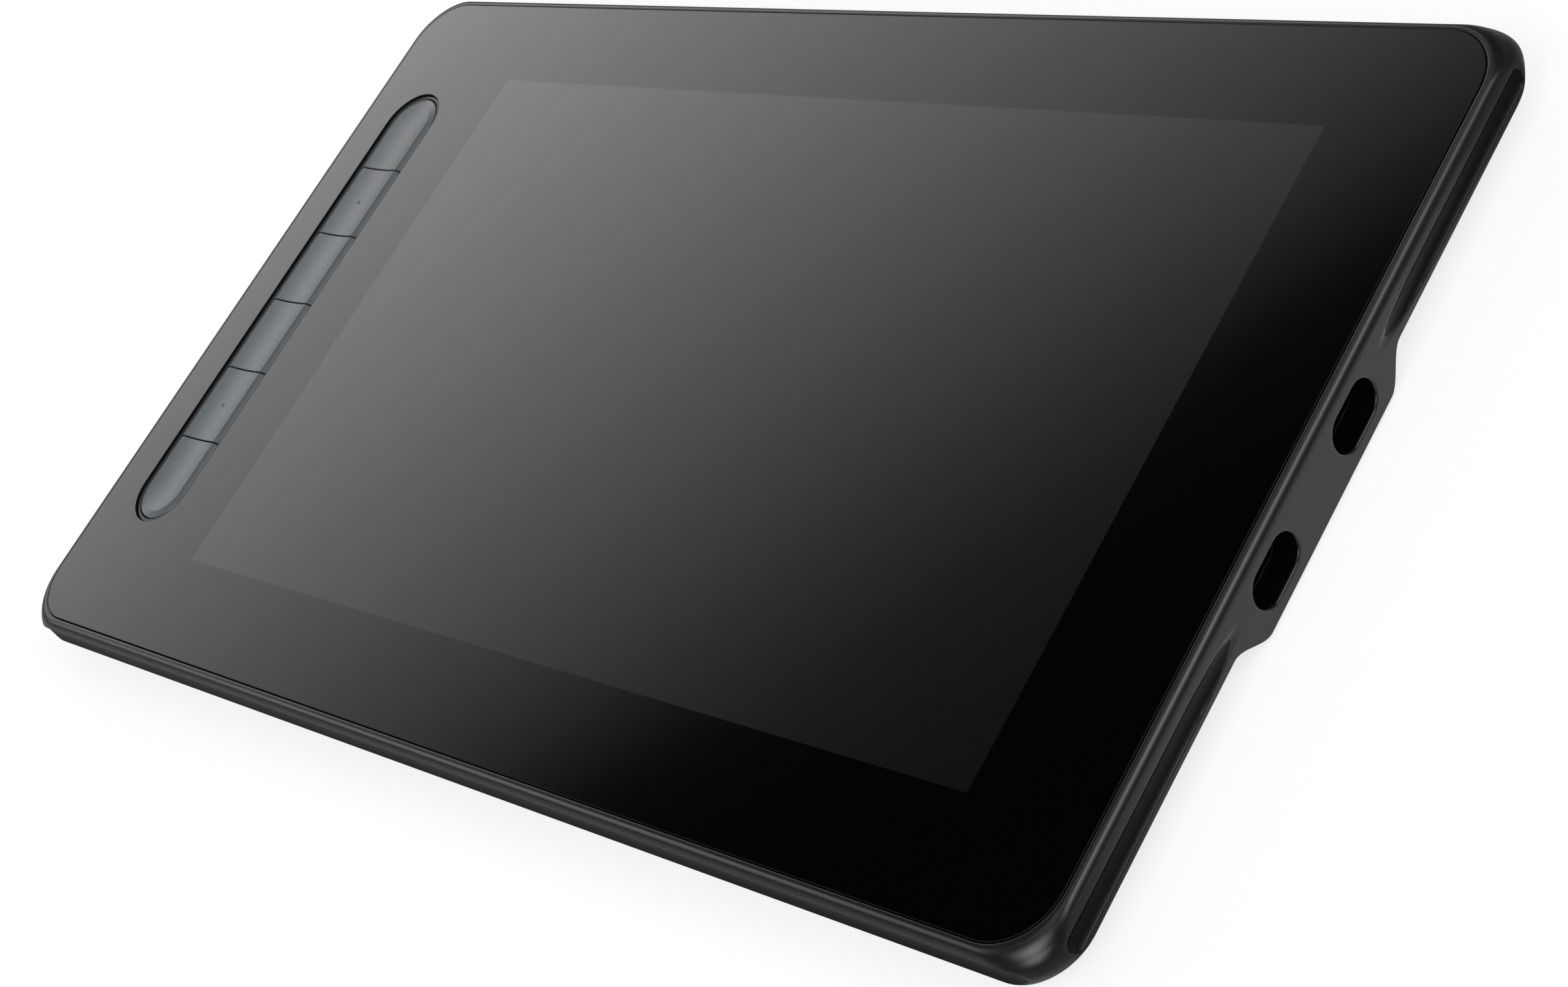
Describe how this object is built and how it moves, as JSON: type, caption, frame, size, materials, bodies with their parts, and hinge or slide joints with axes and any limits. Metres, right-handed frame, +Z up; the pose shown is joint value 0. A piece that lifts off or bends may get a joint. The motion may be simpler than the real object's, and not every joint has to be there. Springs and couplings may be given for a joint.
{
  "type": "graphics tablet with screen",
  "caption": "Slim pen display with a glass front, a strip of shortcut keys beside the screen and side ports.",
  "frame": {"origin": "under the middle of the body, on the plane that the feet stand on", "axes": "+X along the long side towards the ports, +Y towards the far long side, +Z up through the glass"},
  "size_m": [0.2978, 0.1722, 0.0137],
  "materials": {
    "housing": "satin moulded plastic",
    "inner_plastic": "moulded plastic",
    "cover_glass": "polished",
    "black_film": "printed black",
    "adhesive": "tape",
    "optical_bond": "clear",
    "lcd_panel": "polarizer",
    "white_sheet": "white film",
    "light_guide": "clear acrylic",
    "led_bar": "moulded",
    "tray_metal": "pressed sheet",
    "circuit_board": "solder mask",
    "shield_metal": "pressed sheet",
    "foam": "open foam",
    "chip": "moulded",
    "connector": "moulded",
    "port_metal": "drawn shell",
    "flex": "polyimide",
    "key_frame": "moulded",
    "key_cap": "fine matt",
    "switch_body": "moulded",
    "side_key": "satin",
    "foot_rubber": "matt",
    "screw_steel": "black zinc"
  },
  "bodies": {
    "tablet": {"backlight_tray": "tray_metal", "board_connectors": "connector", "board_screws": "screw_steel", "border_film": "black_film", "carrier_frame": "inner_plastic", "controller_chip": "chip", "cover_glass": "cover_glass", "diffuser_sheet": "white_sheet", "foot_far_left": "foot_rubber", "foot_far_right": "foot_rubber", "foot_near_left": "foot_rubber", "foot_near_right": "foot_rubber", "glass_adhesive": "adhesive", "housing_screws": "screw_steel", "key_board": "circuit_board", "key_flex": "flex", "key_frame": "key_frame", "key_switches": "switch_body", "lcd_panel": "lcd_panel", "led_bar": "led_bar", "light_guide": "light_guide", "main_board": "circuit_board", "optical_bond": "optical_bond", "panel_flex": "flex", "port_far": "port_metal", "port_near": "port_metal", "rear_housing": "housing", "reflector_sheet": "white_sheet", "sensor_board": "circuit_board", "sensor_flex": "flex", "shield_can": "shield_metal", "shield_plate": "shield_metal", "side_board": "circuit_board", "side_flex": "flex", "side_switches": "switch_body", "support_foam": "foam", "video_chip": "chip"},
    "shortcut_key_1_cap": {"shortcut_key_1": "key_cap"},
    "shortcut_key_2_cap": {"shortcut_key_2": "key_cap"},
    "shortcut_key_3_cap": {"shortcut_key_3": "key_cap"},
    "shortcut_key_4_cap": {"shortcut_key_4": "key_cap"},
    "shortcut_key_5_cap": {"shortcut_key_5": "key_cap"},
    "shortcut_key_6_cap": {"shortcut_key_6": "key_cap"},
    "brightness_down_key_cap": {"brightness_down_key": "side_key"},
    "brightness_up_key_cap": {"brightness_up_key": "side_key"},
    "power_key_cap": {"power_key": "side_key"}
  },
  "joints": [
    {"name": "shortcut_key_1_press", "type": "slide", "parent": "tablet", "child": "shortcut_key_1_cap", "axis": [0, 0, -1], "range_m": [0, 0.0005], "stiffness_N_per_m": 900, "springref_m": -0.0005},
    {"name": "shortcut_key_2_press", "type": "slide", "parent": "tablet", "child": "shortcut_key_2_cap", "axis": [0, 0, -1], "range_m": [0, 0.0005], "stiffness_N_per_m": 900, "springref_m": -0.0005},
    {"name": "shortcut_key_3_press", "type": "slide", "parent": "tablet", "child": "shortcut_key_3_cap", "axis": [0, 0, -1], "range_m": [0, 0.0005], "stiffness_N_per_m": 900, "springref_m": -0.0005},
    {"name": "shortcut_key_4_press", "type": "slide", "parent": "tablet", "child": "shortcut_key_4_cap", "axis": [0, 0, -1], "range_m": [0, 0.0005], "stiffness_N_per_m": 900, "springref_m": -0.0005},
    {"name": "shortcut_key_5_press", "type": "slide", "parent": "tablet", "child": "shortcut_key_5_cap", "axis": [0, 0, -1], "range_m": [0, 0.0005], "stiffness_N_per_m": 900, "springref_m": -0.0005},
    {"name": "shortcut_key_6_press", "type": "slide", "parent": "tablet", "child": "shortcut_key_6_cap", "axis": [0, 0, -1], "range_m": [0, 0.0005], "stiffness_N_per_m": 900, "springref_m": -0.0005},
    {"name": "brightness_down_key_press", "type": "slide", "parent": "tablet", "child": "brightness_down_key_cap", "axis": [0, -1, 0], "range_m": [0, 0.0004], "stiffness_N_per_m": 900, "springref_m": -0.0005},
    {"name": "brightness_up_key_press", "type": "slide", "parent": "tablet", "child": "brightness_up_key_cap", "axis": [0, -1, 0], "range_m": [0, 0.0004], "stiffness_N_per_m": 900, "springref_m": -0.0005},
    {"name": "power_key_press", "type": "slide", "parent": "tablet", "child": "power_key_cap", "axis": [0, -1, 0], "range_m": [0, 0.0004], "stiffness_N_per_m": 900, "springref_m": -0.0005}
  ]
}
